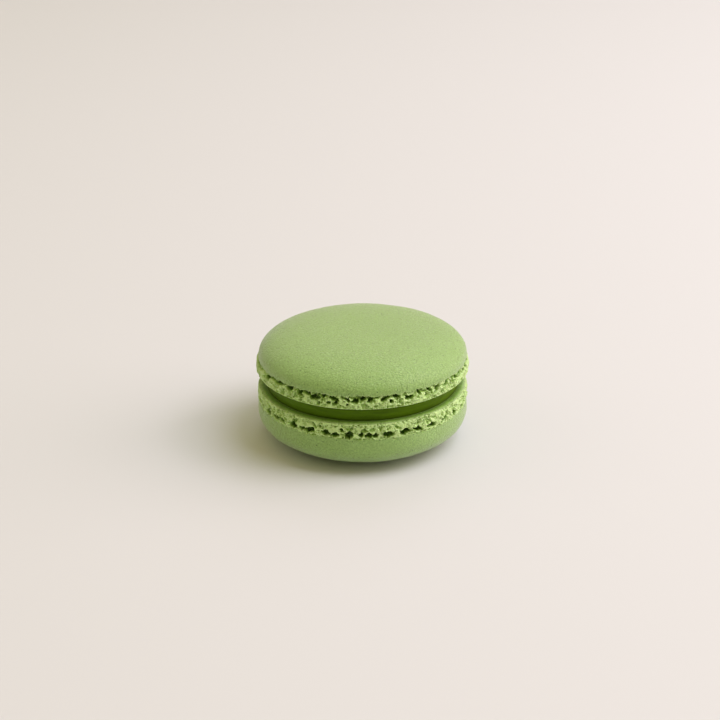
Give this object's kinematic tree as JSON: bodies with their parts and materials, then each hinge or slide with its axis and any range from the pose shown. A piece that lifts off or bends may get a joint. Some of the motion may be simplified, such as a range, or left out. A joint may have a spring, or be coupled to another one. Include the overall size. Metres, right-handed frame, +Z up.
{
  "type": "french macaron",
  "caption": "Round sandwich biscuit: smooth domed almond shells with ruffled, pitted feet lie back to back around a layer of darker green filling.",
  "frame": {"origin": "middle of the small flat spot that the lower shell stands on, at the table surface", "axes": "+Z up through the middle of both shells; +X to the right and -Y towards the viewer when the side shown in front is seen"},
  "size_m": [0.0492, 0.0492, 0.026],
  "materials": {
    "almond_shell": "matte, finely mottled light green crust",
    "green_filling": "smooth satin, darker olive green"
  },
  "bodies": {
    "root": {"upper_shell": "almond_shell", "filling": "green_filling", "lower_shell": "almond_shell"}
  },
  "joints": []
}
